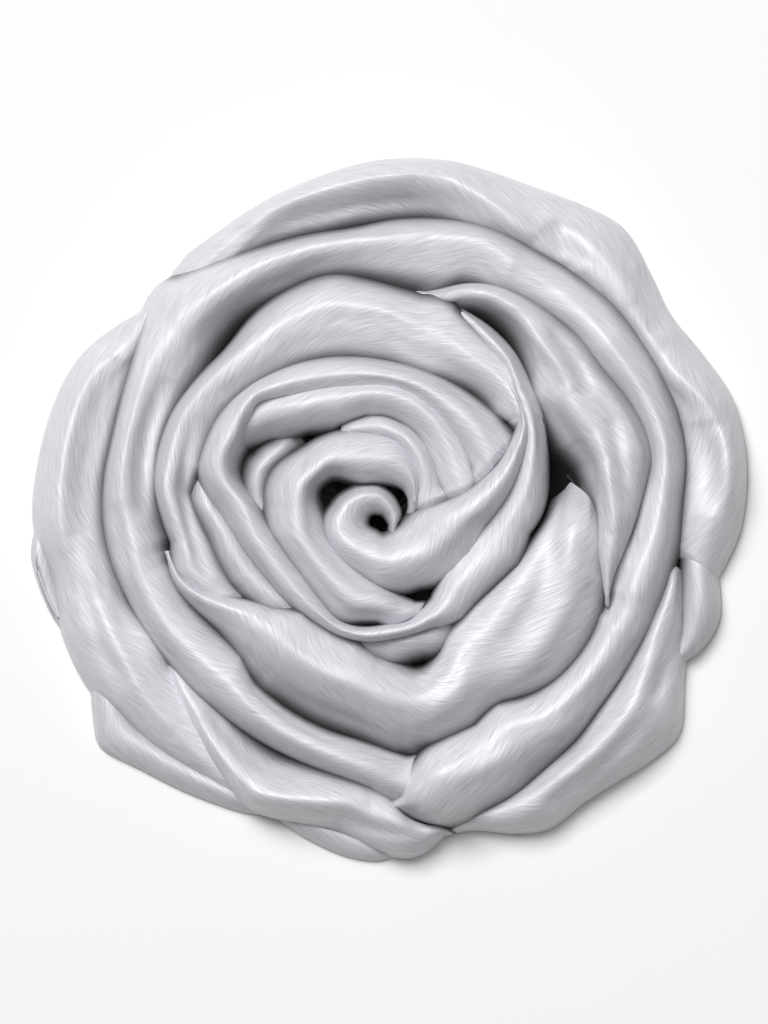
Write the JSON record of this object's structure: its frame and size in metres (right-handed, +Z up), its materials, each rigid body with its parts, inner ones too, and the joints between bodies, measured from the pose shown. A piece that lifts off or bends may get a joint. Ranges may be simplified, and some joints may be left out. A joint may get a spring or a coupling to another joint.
{
  "type": "hijab",
  "caption": "Satin hijab, a long rectangular scarf twisted lengthways and wound flat into a rosette that rests on its underside.",
  "frame": {"origin": "centre of the flat underside, in the middle of the rosette's plan box", "axes": "+Z up out of the rosette, +X to the picture's right, +Y to the picture's top"},
  "size_m": [0.2508, 0.2466, 0.05],
  "materials": {
    "satin": "silver-grey satin with a fine slub streak",
    "hidden_layers": "silver-grey satin in shade"
  },
  "bodies": {
    "root": {"bottom_flounce": "satin", "bottom_ring": "satin", "bottom_swirl": "satin", "bottom_tail": "satin", "centre_curl": "satin", "crown": "satin", "crown_right": "satin", "hidden_layers": "hidden_layers", "inner_loop": "satin", "inner_roll": "satin", "inner_sweep": "satin", "left_flounce": "satin", "left_ring": "satin", "left_tail": "satin", "lower_left_tail": "satin", "lower_strand": "satin", "nested_strand": "satin", "outer_ring_right": "satin", "peeking_strand": "satin", "petal_left": "satin", "petal_right": "satin", "right_flounce": "satin", "right_ring": "satin", "right_tail": "satin", "second_loop": "satin", "second_loop_rise": "satin", "shaded_strand": "satin", "third_ring": "satin", "top_ring": "satin", "upper_arm_inner": "satin", "upper_arm_outer": "satin"}
  },
  "joints": []
}
